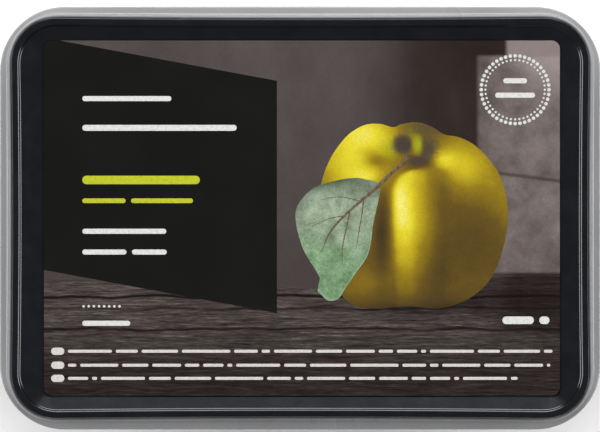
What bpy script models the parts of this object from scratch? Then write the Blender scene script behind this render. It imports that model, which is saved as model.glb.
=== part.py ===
"""A sealed 400 g tub of quince jelly.

It is a translucent moulded tub with a flanged ledge, the set jelly in it, a heat-sealed film on its rim,
a black press-on lid with a recessed panel, and a label on the lid and on the base.

Run with: blender --background --python part.py
Units are metres, +Z is up, and the origin is the middle of the base, on the surface that the tub stands on.
"""

import math

import bmesh
import bpy

MM = 0.001

# Driving dimensions. Every outline is a rounded rectangle whose two half sizes differ by the same amount.
LEDGE_LENGTH = 142 * MM  # the tub's ledge is the widest thing on it
LEDGE_WIDTH = 100 * MM
TOTAL_HEIGHT = 38 * MM
WALL = 0.9 * MM  # the tub's wall
LID_WALL = 0.9 * MM
GAP = 0.3 * MM  # between pieces that touch
SIDE_BOW = 0.5 * MM  # how far the middle of each moulded side is drawn in as the plastic cools

HALF_LENGTH = LEDGE_LENGTH / 2
LENGTH_OVER_WIDTH = (LEDGE_LENGTH - LEDGE_WIDTH) / 2

# Heights, from the base up.
BASE_RECESS = 1.0 * MM
TUB_FLOOR = BASE_RECESS + WALL
BODY_TOP = 25.0 * MM  # where the tapering body meets the stacking shoulder
SHOULDER_TOP = 26.2 * MM
LEDGE_UNDER = 29.2 * MM
LEDGE_TOP = LEDGE_UNDER + 1.2 * MM
LIP_BOTTOM = 27.0 * MM
COLLAR_TOP = LEDGE_TOP + 0.9 * MM
RIM_UNDER = 33.4 * MM
RIM_TOP = RIM_UNDER + 1.2 * MM
JELLY_TOP = 33.0 * MM
FILM_THICKNESS = 0.2 * MM
FILM_TOP = RIM_TOP + GAP + FILM_THICKNESS
LID_UNDER = FILM_TOP + GAP
PANEL_TOP = LID_UNDER + 0.8 * MM
STEP_FOOT_TOP = PANEL_TOP + 1.2 * MM  # a slope runs from here down to the flat of the panel
SKIRT_BOTTOM = LEDGE_TOP + GAP
LABEL_THICKNESS = 0.2 * MM

# Half lengths of the outlines, from the widest in.
COLLAR_OUT = HALF_LENGTH - 1.55 * MM
COLLAR_IN = HALF_LENGTH - 2.35 * MM
SKIRT_OUT = HALF_LENGTH - 2.65 * MM
BEAD_OUT = SKIRT_OUT - 0.4 * MM  # the skirt tapers to here
BEAD_IN = SKIRT_OUT - 1.6 * MM
STEP_FOOT = SKIRT_OUT - 2.0 * MM
RIM_OUT = HALF_LENGTH - 4.3 * MM
NECK_OUT = HALF_LENGTH - 6.8 * MM
BODY_OUT_TOP = NECK_OUT - 1.0 * MM
BODY_OUT_BOTTOM = BODY_OUT_TOP - 1.9 * MM
FOOT_OUT = BODY_OUT_BOTTOM - 2.4 * MM
FOOT_IN = FOOT_OUT - 3.5 * MM

# Corner radii.
LEDGE_CORNER = 15.3 * MM
SKIRT_CORNER = 11.0 * MM
BODY_CORNER = 10.5 * MM
FOOT_CORNER = 7.0 * MM

# The flat of the lid's panel, and the labels.
PANEL_LENGTH = 122.9 * MM
PANEL_WIDTH = 84.5 * MM
PANEL_CORNER = 2.5 * MM
LABEL_LENGTH = 121.7 * MM
LABEL_WIDTH = 83.8 * MM
LABEL_CORNER = 1.9 * MM
LABEL_SHIFT = 0.4 * MM  # the lid's label sits this far to the right of the middle
BASE_LABEL_LENGTH = 84 * MM
BASE_LABEL_WIDTH = 46 * MM

# Roundings in section.
FOOT_ROUNDING = 2.4 * MM
BEAD_ROUNDING = 0.35 * MM
STEP_ROUNDING = 0.2 * MM

CORNER_STEPS = 8
SIDE_STEPS = 4


def rounded_rectangle(half_x, half_y, radius, bow=0.0):
    """The points round a rectangle with round corners. Bow draws the middle of each side in."""
    points = []
    for quarter in range(4):
        start = quarter * math.pi / 2
        turn = (math.cos(start), math.sin(start))
        along, across = (half_x, half_y) if quarter % 2 == 0 else (half_y, half_x)
        corner = []
        for step in range(CORNER_STEPS + 1):
            angle = step / CORNER_STEPS * math.pi / 2
            x = along - radius + radius * math.cos(angle)
            y = across - radius + radius * math.sin(angle)
            corner.append((x, y))
        straight = along - radius
        side = []
        for step in range(1, SIDE_STEPS):
            place = straight * (1 - 2 * step / SIDE_STEPS)
            side.append((place, across - bow * (1 - (place / straight) ** 2)))
        for x, y in corner + side:
            points.append((x * turn[0] - y * turn[1], x * turn[1] + y * turn[0]))
    return points


def ring(half_length, height, corner, bow=0.0):
    """One level of a moulding: its outline at that half length, and its height."""
    return rounded_rectangle(half_length, half_length - LENGTH_OVER_WIDTH, corner, bow), height


def rounding(centre_in, centre_up, radius, start, end, steps, corner, bow=0.0):
    """The levels round a small fillet. Its centre is a half length and a height. Angles are in degrees."""
    levels = []
    for step in range(steps + 1):
        angle = math.radians(start + (end - start) * step / steps)
        half_length = centre_in + radius * math.cos(angle)
        levels.append(ring(half_length, centre_up + radius * math.sin(angle), corner, bow))
    return levels


def material(name, colour, roughness, alpha=1.0):
    made = bpy.data.materials.new(name)
    made.use_nodes = True
    shader = made.node_tree.nodes["Principled BSDF"]
    shader.inputs["Base Color"].default_value = (*colour, 1.0)
    shader.inputs["Roughness"].default_value = roughness
    shader.inputs["Metallic"].default_value = 0.0
    shader.inputs["Alpha"].default_value = alpha
    return made


def loft(name, levels, finish):
    """A closed solid through the levels in order, capped at its first and last."""
    mesh = bmesh.new()
    loops = [[mesh.verts.new((x, y, height)) for x, y in outline] for outline, height in levels]
    count = len(loops[0])
    for lower, upper in zip(loops, loops[1:]):
        for i in range(count):
            j = (i + 1) % count
            mesh.faces.new((lower[i], lower[j], upper[j], upper[i]))
    mesh.faces.new(loops[0][::-1])
    mesh.faces.new(loops[-1])
    bmesh.ops.recalc_face_normals(mesh, faces=mesh.faces)
    data = bpy.data.meshes.new(name)
    mesh.to_mesh(data)
    mesh.free()
    data.shade_smooth()
    data.set_sharp_from_angle(angle=math.radians(35))
    data.materials.append(finish)
    made = bpy.data.objects.new(name, data)
    bpy.context.scene.collection.objects.link(made)
    return made


def make_tub():
    """Foot, tapering body, stacking shoulder, ledge with a turned-down lip and a collar, and sealing rim."""
    neck_corner = BODY_CORNER - 1 * MM
    rim_corner = BODY_CORNER - 0.5 * MM
    inside_corner = BODY_CORNER - 1.8 * MM
    neck_in = NECK_OUT - WALL
    lip_in = HALF_LENGTH - WALL
    lip_edge = 0.35 * MM
    foot_corner = BODY_CORNER - 1 * MM
    floor_corner = foot_corner - WALL
    inside_foot = FOOT_OUT - WALL
    inside_centre = TUB_FLOOR + FOOT_ROUNDING
    levels = [
        ring(FOOT_IN - 0.6 * MM, BASE_RECESS, FOOT_CORNER - 1 * MM),
        ring(FOOT_IN, 0, FOOT_CORNER),
        *rounding(FOOT_OUT, FOOT_ROUNDING, FOOT_ROUNDING, -90, -10, 4, foot_corner),
        ring(BODY_OUT_TOP, BODY_TOP, BODY_CORNER),
        ring(NECK_OUT - 0.15 * MM, SHOULDER_TOP, BODY_CORNER + 1 * MM),
        ring(NECK_OUT, LEDGE_UNDER, BODY_CORNER + 1 * MM),
        ring(lip_in, LEDGE_UNDER, LEDGE_CORNER - WALL),
        ring(lip_in, LIP_BOTTOM, LEDGE_CORNER - WALL),
        *rounding(HALF_LENGTH - lip_edge, LIP_BOTTOM + lip_edge, lip_edge, -90, 0, 2, LEDGE_CORNER),
        *rounding(HALF_LENGTH - lip_edge, LEDGE_TOP - lip_edge, lip_edge, 0, 90, 3, LEDGE_CORNER),
        ring(COLLAR_OUT, LEDGE_TOP, SKIRT_CORNER + 1.1 * MM, SIDE_BOW),
        ring(COLLAR_OUT - 0.25 * MM, COLLAR_TOP, SKIRT_CORNER + 0.85 * MM, SIDE_BOW),
        ring(COLLAR_IN + 0.1 * MM, COLLAR_TOP, SKIRT_CORNER + 0.4 * MM, SIDE_BOW),
        ring(COLLAR_IN, LEDGE_TOP, SKIRT_CORNER + 0.3 * MM, SIDE_BOW),
        ring(NECK_OUT, LEDGE_TOP, neck_corner, SIDE_BOW),
        ring(NECK_OUT, RIM_UNDER, neck_corner, SIDE_BOW),
        ring(RIM_OUT - 0.2 * MM, RIM_UNDER, rim_corner - 0.2 * MM, SIDE_BOW),
        *rounding(RIM_OUT - 0.6 * MM, RIM_UNDER + 0.6 * MM, 0.6 * MM, 0, 90, 3, rim_corner, SIDE_BOW),
        ring(neck_in + 0.3 * MM, RIM_TOP, inside_corner, SIDE_BOW),
        ring(neck_in, RIM_TOP - 0.3 * MM, inside_corner, SIDE_BOW),
        ring(neck_in, SHOULDER_TOP, neck_corner),
        ring(BODY_OUT_TOP - WALL, BODY_TOP, neck_corner),
        *rounding(inside_foot, inside_centre, FOOT_ROUNDING, -10, -90, 4, floor_corner),
    ]
    return loft("tub", levels, material("tub_plastic", (0.55, 0.56, 0.57), 0.3, 0.55))


def make_jelly():
    """The set jelly fills the tub to a little under its rim, and keeps the tub's shape."""
    foot = FOOT_OUT - WALL - GAP
    bottom = TUB_FLOOR + GAP
    neck_in = NECK_OUT - WALL - GAP
    levels = [
        *rounding(foot, bottom + FOOT_ROUNDING, FOOT_ROUNDING, -90, -10, 4, BODY_CORNER - 2.2 * MM),
        ring(BODY_OUT_TOP - WALL - GAP, BODY_TOP, BODY_CORNER - 1.3 * MM),
        ring(neck_in - 0.15 * MM, SHOULDER_TOP + GAP, BODY_CORNER - 1.3 * MM, SIDE_BOW),
        ring(neck_in, JELLY_TOP - 0.4 * MM, BODY_CORNER - 1.8 * MM, SIDE_BOW),
        ring(neck_in - 0.8 * MM, JELLY_TOP, BODY_CORNER - 2.4 * MM, SIDE_BOW),
    ]
    return loft("quince_jelly", levels, material("jelly", (0.42, 0.11, 0.02), 0.2))


def make_film():
    """The peelable film lies on the tub's sealing rim."""
    corner = BODY_CORNER - 0.7 * MM
    levels = [
        ring(RIM_OUT - 0.7 * MM, RIM_TOP + GAP, corner, SIDE_BOW),
        ring(RIM_OUT - 0.7 * MM, FILM_TOP, corner, SIDE_BOW),
    ]
    return loft("sealing_film", levels, material("film", (0.6, 0.6, 0.62), 0.25))


def make_lid():
    """Flat underside, skirt with a ridge that hooks under the rim, top bead, small step, slope and panel."""
    skirt_in = SKIRT_OUT - LID_WALL
    inside_corner = SKIRT_CORNER - LID_WALL
    ridge_in = RIM_OUT - 0.5 * MM
    ridge_top = RIM_UNDER - GAP
    bead_out = (BEAD_OUT - BEAD_ROUNDING, TOTAL_HEIGHT - BEAD_ROUNDING, BEAD_ROUNDING)
    bead_in = (BEAD_IN + BEAD_ROUNDING, TOTAL_HEIGHT - BEAD_ROUNDING, BEAD_ROUNDING)
    step_foot = (STEP_FOOT, STEP_FOOT_TOP + STEP_ROUNDING, STEP_ROUNDING)
    levels = [
        ring(skirt_in - 0.3 * MM, LID_UNDER, inside_corner - 0.3 * MM, SIDE_BOW),
        ring(skirt_in - 0.1 * MM, ridge_top, inside_corner - 0.1 * MM, SIDE_BOW),
        ring(ridge_in, ridge_top - 0.4 * MM, inside_corner - 0.6 * MM, SIDE_BOW),
        ring(ridge_in, ridge_top - 0.8 * MM, inside_corner - 0.6 * MM, SIDE_BOW),
        ring(skirt_in, SKIRT_BOTTOM + 0.6 * MM, inside_corner, SIDE_BOW),
        ring(skirt_in, SKIRT_BOTTOM, inside_corner, SIDE_BOW),
        ring(SKIRT_OUT - 0.15 * MM, SKIRT_BOTTOM, SKIRT_CORNER - 0.1 * MM, SIDE_BOW),
        ring(SKIRT_OUT, SKIRT_BOTTOM + 0.2 * MM, SKIRT_CORNER, SIDE_BOW),
        *rounding(*bead_out, 5, 90, 3, SKIRT_CORNER - 0.4 * MM, SIDE_BOW),
        *rounding(*bead_in, 90, 165, 3, SKIRT_CORNER - 1.8 * MM, SIDE_BOW),
        *rounding(*step_foot, -15, -75, 3, SKIRT_CORNER - 2 * MM, SIDE_BOW),
        (rounded_rectangle(PANEL_LENGTH / 2, PANEL_WIDTH / 2, PANEL_CORNER), PANEL_TOP),
    ]
    return loft("lid", levels, material("lid_plastic", (0.012, 0.013, 0.015), 0.15))


def make_label(name, length, width, bottom, shift, colour):
    outline = [(x + shift, y) for x, y in rounded_rectangle(length / 2, width / 2, LABEL_CORNER)]
    levels = [(outline, bottom), (outline, bottom + LABEL_THICKNESS)]
    return loft(name, levels, material(name, colour, 0.5))


def main():
    for old in list(bpy.data.objects):
        bpy.data.objects.remove(old, do_unlink=True)
    make_tub()
    make_jelly()
    make_film()
    make_lid()
    make_label("lid_label", LABEL_LENGTH, LABEL_WIDTH, PANEL_TOP + GAP, LABEL_SHIFT, (0.09, 0.08, 0.075))
    base_label_bottom = BASE_RECESS - GAP - LABEL_THICKNESS
    make_label("base_label", BASE_LABEL_LENGTH, BASE_LABEL_WIDTH, base_label_bottom, 0.0, (0.8, 0.8, 0.78))


main()
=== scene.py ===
"""A lidded tub of quince jelly: fine mouldings, milky and black plastic, jelly and a printed label."""

import math

import bmesh
import bpy
import numpy as np
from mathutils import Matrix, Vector


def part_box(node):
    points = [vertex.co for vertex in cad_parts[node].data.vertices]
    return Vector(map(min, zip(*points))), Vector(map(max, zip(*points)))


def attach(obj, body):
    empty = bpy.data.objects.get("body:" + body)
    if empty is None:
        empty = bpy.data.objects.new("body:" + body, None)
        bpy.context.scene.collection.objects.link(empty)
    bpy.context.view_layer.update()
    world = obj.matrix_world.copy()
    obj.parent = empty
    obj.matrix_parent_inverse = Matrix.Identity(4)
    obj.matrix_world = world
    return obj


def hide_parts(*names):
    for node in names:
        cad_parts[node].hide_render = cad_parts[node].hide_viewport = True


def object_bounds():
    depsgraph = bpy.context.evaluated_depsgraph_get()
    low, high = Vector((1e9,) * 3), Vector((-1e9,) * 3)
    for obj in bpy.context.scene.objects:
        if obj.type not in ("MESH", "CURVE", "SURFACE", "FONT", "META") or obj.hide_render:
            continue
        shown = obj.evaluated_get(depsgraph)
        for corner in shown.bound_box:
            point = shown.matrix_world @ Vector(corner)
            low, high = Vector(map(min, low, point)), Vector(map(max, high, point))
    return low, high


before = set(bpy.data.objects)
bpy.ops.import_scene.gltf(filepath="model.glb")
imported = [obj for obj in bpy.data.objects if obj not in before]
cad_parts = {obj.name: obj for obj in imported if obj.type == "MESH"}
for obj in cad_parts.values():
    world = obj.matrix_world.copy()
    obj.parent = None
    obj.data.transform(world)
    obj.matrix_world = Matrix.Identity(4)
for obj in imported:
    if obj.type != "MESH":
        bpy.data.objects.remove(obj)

bl_info = {
    "name": "Lidded jelly tub",
    "version": (1, 0, 0),
    "blender": (4, 5, 0),
    "location": "View3D > Sidebar > Jelly tub",
    "description": "Models a sealed food tub of quince jelly with its lid and its printed label",
    "category": "Object",
}

MM = 0.001
BODY = "root"
CAD_LOW, CAD_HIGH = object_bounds()
LID_LOW, LID_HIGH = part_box("lid")
LABEL_LOW, LABEL_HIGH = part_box("lid_label")
BASE_LABEL_LOW, BASE_LABEL_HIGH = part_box("base_label")
JELLY_LOW, JELLY_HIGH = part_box("quince_jelly")
FILM_LOW, FILM_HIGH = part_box("sealing_film")

CORNER_SEGMENTS = 16  # edges round each corner of a moulding
SIDE_CUTS = 7  # cuts along each straight side
STRAIGHT = 10 * MM  # an edge longer than this is a straight side
LEVEL_SPACING = 10 * MM  # how far apart a moulding's outlines stand while they are bridged
SMOOTH_ANGLE = math.radians(40)
BISECT_THRESHOLD = 0.00001

# Heights of the tub's mouldings, from the base up.
BASE_RECESS = 1.0 * MM
BODY_TOP = 25.0 * MM
SHOULDER_TOP = 26.2 * MM
LIP_BOTTOM = 27.0 * MM
LEDGE_UNDER = 29.2 * MM
LEDGE_TOP = 30.4 * MM
COLLAR_TOP = 31.3 * MM
RIM_UNDER = 33.4 * MM
RIM_TOP = 34.6 * MM

# How far the tub's mouldings stand in from its widest outline.
COLLAR_INSET = 1.55 * MM
COLLAR_INNER_INSET = 2.35 * MM
RIM_INSET = 4.3 * MM
NECK_INSET = 6.8 * MM
BODY_TOP_INSET = 7.8 * MM
FOOT_INSET = 12.1 * MM
FOOT_INNER_INSET = 15.6 * MM

BODY_DEEP = (0.34, 0.33, 0.31)  # the thin body's milky plastic
BODY_PALE = (0.46, 0.45, 0.42)

GAP = 0.3 * MM  # between neighbouring pieces
SLOPE_STEPS = 10  # levels down the lid's slope
INK = 0.03 * MM  # how far a print stands on the label's paper
PRINT_LIGHT = 1.42  # the studio's light on the label
PRINT_VEIL = 0.006  # the sheen that the label adds to a black print


def ink(red, green, blue):
    """The colour to give a print so that under the studio's light it looks like this one, 0 to 255."""
    parts = []
    for part in (red, green, blue):
        share = part / 255
        level = share / 12.92 if share <= 0.04045 else ((share + 0.055) / 1.055) ** 2.4
        parts.append(min(max((level - PRINT_VEIL) / PRINT_LIGHT, 0.0008), 0.95))
    return tuple(parts)


# --- Modelling ------------------------------------------------------------------------------------


def new_piece(name):
    """An empty piece at the origin, alone selected and open in edit mode."""
    bpy.ops.object.select_all(action="DESELECT")
    piece = bpy.data.objects.new(name, bpy.data.meshes.new(name))
    bpy.context.scene.collection.objects.link(piece)
    bpy.context.view_layer.objects.active = piece
    piece.select_set(True)
    bpy.ops.object.mode_set(mode="EDIT")
    bpy.ops.mesh.select_mode(type="VERT")
    return piece


def close_piece(piece, finish, smooth=SMOOTH_ANGLE):
    """Leaves edit mode, shades the piece, gives it its material and lets it ride on the tub."""
    bpy.ops.mesh.select_all(action="SELECT")
    bpy.ops.mesh.normals_make_consistent(inside=False)
    bpy.ops.object.mode_set(mode="OBJECT")
    bpy.ops.object.shade_smooth_by_angle(angle=smooth)
    piece.data.materials.append(finish)
    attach(piece, BODY)
    return piece


def add_outline(half_x, half_y, corner, height, number):
    """Adds a rounded rectangle of edges with cut sides at that height, marked with the level's number."""
    bpy.ops.mesh.select_all(action="DESELECT")
    bpy.ops.mesh.primitive_plane_add(size=2, location=(0, 0, height))
    bpy.ops.transform.resize(value=(half_x, half_y, 1), center_override=(0, 0, height))
    bpy.ops.mesh.bevel(offset=corner, segments=CORNER_SEGMENTS, affect="VERTICES")
    bpy.ops.mesh.delete(type="ONLY_FACE")
    mesh = bmesh.from_edit_mesh(bpy.context.object.data)
    if "level" not in mesh.verts.layers.int:
        mesh.verts.layers.int.new("level")
    mark = mesh.verts.layers.int["level"]
    select_levels(mesh, 0)
    for edge in mesh.edges:
        if edge.select and edge.calc_length() <= STRAIGHT:
            edge.select_set(False)
    for edge in mesh.edges:
        if edge.calc_length() > STRAIGHT and edge.verts[0][mark] == 0:
            edge.select_set(True)
    bpy.ops.mesh.subdivide(number_cuts=SIDE_CUTS)
    mesh = bmesh.from_edit_mesh(bpy.context.object.data)
    mark = mesh.verts.layers.int["level"]
    for vertex in mesh.verts:
        if vertex[mark] == 0:
            vertex[mark] = number


def moulding(levels):
    """A closed solid in the open piece, from levels of (half x, half y, corner, height) bridged in turn."""
    data = bpy.context.object.data
    for number, (half_x, half_y, corner, height) in enumerate(levels, start=1):
        add_outline(half_x, half_y, corner, number * LEVEL_SPACING, number)
        if number > 1:
            select_levels(bmesh.from_edit_mesh(data), number - 1, number)
            bpy.ops.mesh.bridge_edge_loops()
    for number, (half_x, half_y, corner, height) in enumerate(levels, start=1):
        select_levels(bmesh.from_edit_mesh(data), number)
        if number in (1, len(levels)):
            bpy.ops.mesh.edge_face_add()
        bpy.ops.transform.translate(value=(0, 0, height - number * LEVEL_SPACING))
    mesh = bmesh.from_edit_mesh(data)
    mesh.verts.layers.int.remove(mesh.verts.layers.int["level"])


def select_levels(mesh, *numbers):
    mark = mesh.verts.layers.int["level"]
    for edge in mesh.edges:
        edge.select_set(False)
    for vertex in mesh.verts:
        vertex.select_set(vertex[mark] in numbers)
    mesh.select_flush_mode()


def fillet(inset, height, radius, start, end, steps):
    """The (inset, height) points round a fillet about a centre. Angle 0 is its outer side and 90 its top."""
    points = []
    for step in range(steps + 1):
        angle = math.radians(start + (end - start) * step / steps)
        points.append((inset - radius * math.cos(angle), height + radius * math.sin(angle)))
    return points


def bow_sides(piece, bow, half_x, half_y, reach, above):
    """Draws each side's middle in by bow, for what is within reach of the half sizes and above a height."""
    count = len(piece.data.vertices)
    points = np.empty(count * 3)
    piece.data.vertices.foreach_get("co", points)
    points = points.reshape(count, 3)
    along = points[:, 0] / half_x
    across = points[:, 1] / half_y
    inside = (np.abs(points[:, 0]) <= half_x + reach) & (np.abs(points[:, 1]) <= half_y + reach)
    inside &= points[:, 2] >= above
    points[:, 0] -= np.where(inside, bow * along * np.clip(1 - across**2, 0, 1), 0)
    points[:, 1] -= np.where(inside, bow * across * np.clip(1 - along**2, 0, 1), 0)
    piece.data.vertices.foreach_set("co", points.ravel())
    piece.data.update()


# --- Shading --------------------------------------------------------------------------------------


def new_finish(name, roughness, coat=0.0):
    finish = bpy.data.materials.new(name)
    finish.use_nodes = True
    shader = finish.node_tree.nodes["Principled BSDF"]
    shader.inputs["Roughness"].default_value = roughness
    shader.inputs["Coat Weight"].default_value = coat
    return finish, finish.node_tree, shader


def set_input(tree, socket, value):
    if isinstance(value, bpy.types.NodeSocket):
        tree.links.new(value, socket)
    elif value is not None:
        socket.default_value = value


def maths(tree, operation, a, b=None, c=None):
    node = tree.nodes.new("ShaderNodeMath")
    node.operation = operation
    for socket, value in zip(node.inputs, (a, b, c)):
        set_input(tree, socket, value)
    return node.outputs[0]


def mix(tree, share, first, second, blend="MIX"):
    """Mixes two colours, each a socket or a linear (red, green, blue)."""
    node = tree.nodes.new("ShaderNodeMix")
    node.data_type = "RGBA"
    node.blend_type = blend
    set_input(tree, node.inputs[0], share)
    for socket, colour in ((node.inputs[6], first), (node.inputs[7], second)):
        set_input(tree, socket, colour if isinstance(colour, bpy.types.NodeSocket) else (*colour, 1.0))
    return node.outputs[2]


def ramp(tree, value, stops):
    """A smooth colour ramp. Each stop is (place, linear colour)."""
    node = tree.nodes.new("ShaderNodeValToRGB")
    node.color_ramp.interpolation = "LINEAR"
    elements = node.color_ramp.elements
    while len(elements) < len(stops):
        elements.new(0.5)
    for element, (place, colour) in zip(elements, stops):
        element.position = place
        element.color = (*colour, 1.0)
    set_input(tree, node.inputs[0], value)
    return node.outputs[0]


def fade(tree, value, start, end):
    """0 at start, 1 at end and smooth between them, whichever of the two is greater."""
    node = tree.nodes.new("ShaderNodeMapRange")
    node.interpolation_type = "SMOOTHSTEP"
    set_input(tree, node.inputs["Value"], value)
    for name, level in (("From Min", start), ("From Max", end)):
        node.inputs[name].default_value = level
    return node.outputs[0]


def millimetres(tree):
    """The piece's own coordinates in millimetres: the point, its x, its y and its z."""
    place = tree.nodes.new("ShaderNodeTexCoord")
    scale = tree.nodes.new("ShaderNodeVectorMath")
    scale.operation = "SCALE"
    scale.inputs["Scale"].default_value = 1000
    tree.links.new(place.outputs["Object"], scale.inputs[0])
    parts = tree.nodes.new("ShaderNodeSeparateXYZ")
    tree.links.new(scale.outputs[0], parts.inputs[0])
    return scale.outputs[0], parts.outputs[0], parts.outputs[1], parts.outputs[2]


def stretched(tree, point, across=(1, 1, 1), shift=(0, 0, 0), turn=0.0):
    node = tree.nodes.new("ShaderNodeMapping")
    node.inputs["Scale"].default_value = across
    node.inputs["Location"].default_value = shift
    node.inputs["Rotation"].default_value = (0, 0, turn)
    tree.links.new(point, node.inputs[0])
    return node.outputs[0]


def noise(tree, point, scale, detail=3.0, roughness=0.5):
    """Noise about 0.5, with scale in cycles to the millimetre."""
    node = tree.nodes.new("ShaderNodeTexNoise")
    node.inputs["Scale"].default_value = scale
    node.inputs["Detail"].default_value = detail
    node.inputs["Roughness"].default_value = roughness
    tree.links.new(point, node.inputs["Vector"])
    return node.outputs["Fac"]


def attribute(tree, name):
    node = tree.nodes.new("ShaderNodeAttribute")
    node.attribute_name = name
    return node.outputs["Fac"]


def bump(tree, shader, height, distance, strength=1.0):
    node = tree.nodes.new("ShaderNodeBump")
    node.inputs["Distance"].default_value = distance
    node.inputs["Strength"].default_value = strength
    set_input(tree, node.inputs["Height"], height)
    tree.links.new(node.outputs["Normal"], shader.inputs["Normal"])


# --- Pieces ---------------------------------------------------------------------------------------


def lid_levels(sizes):
    """The lid from its underside, down inside the skirt, up outside it, over the bead and in to the panel."""
    half_x, half_y = LID_HIGH.x, LID_HIGH.y
    top, bottom = LID_HIGH.z, LID_LOW.z
    wall = sizes.lid_wall
    edge = sizes.outer_rounding
    under = FILM_HIGH.z + GAP
    ridge = RIM_UNDER - GAP
    inset_ridge = RIM_INSET - (CAD_HIGH.x - half_x) + 0.5 * MM
    path = [
        (wall + 0.3 * MM, under),
        (wall + 0.1 * MM, ridge),
        (inset_ridge, ridge - 0.4 * MM),
        (inset_ridge, ridge - 0.8 * MM),
        (wall, bottom + 0.6 * MM),
        (wall, bottom),
        (0.15 * MM, bottom),
        (0, bottom + 0.2 * MM),
        (0.02 * MM, bottom + 3.2 * MM),
        *fillet(0.05 * MM + edge, top - edge - 0.04 * MM, edge, 4, 84, 8),
        (0.8 * MM, top),
        *fillet(1.21 * MM, top - 0.8 * MM, 0.8 * MM, 90, 128, 8),
        *step_fillet(sizes),
    ]
    return [(half_x - inset, half_y - inset, sizes.lid_corner - inset, height) for inset, height in path]


def step_fillet(sizes):
    """The fillet where the step inside the bead runs out into the slope."""
    return fillet(2.35 * MM, sizes.step_foot + 0.5 * MM, 0.7 * MM, -50, -72, 6)


def panel_levels(sizes):
    """The slope from the foot of the step down to the flat of the panel, which the label covers."""
    start_inset, start_height = step_fillet(sizes)[-1]
    start = (LID_HIGH.x - start_inset, LID_HIGH.y - start_inset, sizes.lid_corner - start_inset, start_height)
    end = (sizes.panel_length / 2, sizes.panel_width / 2, sizes.panel_corner, LABEL_LOW.z - GAP)
    levels = []
    for step in range(1, SLOPE_STEPS + 1):
        share = step / SLOPE_STEPS
        half_x, half_y, corner = (a + (b - a) * share for a, b in zip(start[:3], end[:3]))
        levels.append((half_x, half_y, corner, start[3] + (end[3] - start[3]) * share))
    return levels


def tub_levels(sizes):
    """The tub from inside its foot ring, up its outside, over the ledge and rim, and down its inside."""
    half_x, half_y = CAD_HIGH.x, CAD_HIGH.y
    wall = sizes.tub_wall
    ledge, lid, body = sizes.ledge_corner, sizes.lid_corner, sizes.body_corner
    lip = 0.35 * MM
    foot = sizes.foot_rounding
    path = [(FOOT_INNER_INSET + 0.6 * MM, BASE_RECESS, body - 4.5 * MM)]
    path += [(FOOT_INNER_INSET, 0, body - 3.5 * MM)]
    path += [(*point, body - 1 * MM) for point in fillet(FOOT_INSET, foot, foot, -90, -10, 8)]
    path += [
        (BODY_TOP_INSET, BODY_TOP, body),
        (NECK_INSET + 0.3 * MM, BODY_TOP + 0.5 * MM, body + 0.8 * MM),
        (NECK_INSET + 0.15 * MM, SHOULDER_TOP, body + 1 * MM),
        (NECK_INSET, LEDGE_UNDER, body + 1 * MM),
        (wall, LEDGE_UNDER, ledge - wall),
        (wall, LIP_BOTTOM, ledge - wall),
    ]
    path += [(*point, ledge) for point in fillet(lip, LIP_BOTTOM + lip, lip, -90, 0, 4)]
    path += [(*point, ledge) for point in fillet(lip, LEDGE_TOP - lip, lip, 0, 90, 5)]
    path += [
        (COLLAR_INSET - 0.15 * MM, LEDGE_TOP, lid + 1.2 * MM),
        (COLLAR_INSET, LEDGE_TOP + 0.12 * MM, lid + 1.1 * MM),
        (COLLAR_INSET + 0.15 * MM, COLLAR_TOP - 0.2 * MM, lid + 1.0 * MM),
        (COLLAR_INSET + 0.35 * MM, COLLAR_TOP, lid + 0.8 * MM),
        (COLLAR_INNER_INSET - 0.2 * MM, COLLAR_TOP, lid + 0.4 * MM),
        (COLLAR_INNER_INSET, COLLAR_TOP - 0.2 * MM, lid + 0.3 * MM),
        (COLLAR_INNER_INSET, LEDGE_TOP, lid + 0.3 * MM),
        (NECK_INSET, LEDGE_TOP, body - 1 * MM),
        (NECK_INSET, RIM_UNDER, body - 1 * MM),
        (RIM_INSET + 0.2 * MM, RIM_UNDER, body - 0.7 * MM),
    ]
    rim = 0.6 * MM
    path += [(*point, body - 0.5 * MM) for point in fillet(RIM_INSET + rim, RIM_UNDER + rim, rim, 0, 90, 5)]
    path += [
        (NECK_INSET + wall - 0.3 * MM, RIM_TOP, body - 1.8 * MM),
        (NECK_INSET + wall, RIM_TOP - 0.3 * MM, body - 1.8 * MM),
        (NECK_INSET + wall, SHOULDER_TOP, body - 1 * MM),
        (BODY_TOP_INSET + wall, BODY_TOP, body - 1 * MM),
    ]
    inside = fillet(FOOT_INSET + wall, BASE_RECESS + wall + foot, foot, -10, -90, 8)
    path += [(*point, body - 1.9 * MM) for point in inside]
    return [(half_x - inset, half_y - inset, corner, height) for inset, height, corner in path]


def jelly_levels(sizes):
    """The jelly, a gap smaller than the tub's inside, with a soft edge round its top."""
    half_x, half_y = CAD_HIGH.x, CAD_HIGH.y
    body = sizes.body_corner
    clear = sizes.tub_wall + GAP
    foot = sizes.foot_rounding
    around_foot = fillet(FOOT_INSET + clear, JELLY_LOW.z + foot, foot, -90, -10, 8)
    path = [(*point, body - 2.2 * MM) for point in around_foot]
    path += [
        (BODY_TOP_INSET + clear, BODY_TOP, body - 1.3 * MM),
        (NECK_INSET + clear + 0.15 * MM, SHOULDER_TOP + GAP, body - 1.3 * MM),
    ]
    around_top = fillet(NECK_INSET + clear + 1 * MM, JELLY_HIGH.z - 1 * MM, 1 * MM, 0, 90, 6)
    path += [(*point, body - 1.9 * MM) for point in around_top]
    return [(half_x - inset, half_y - inset, corner, height) for inset, height, corner in path]


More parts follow.
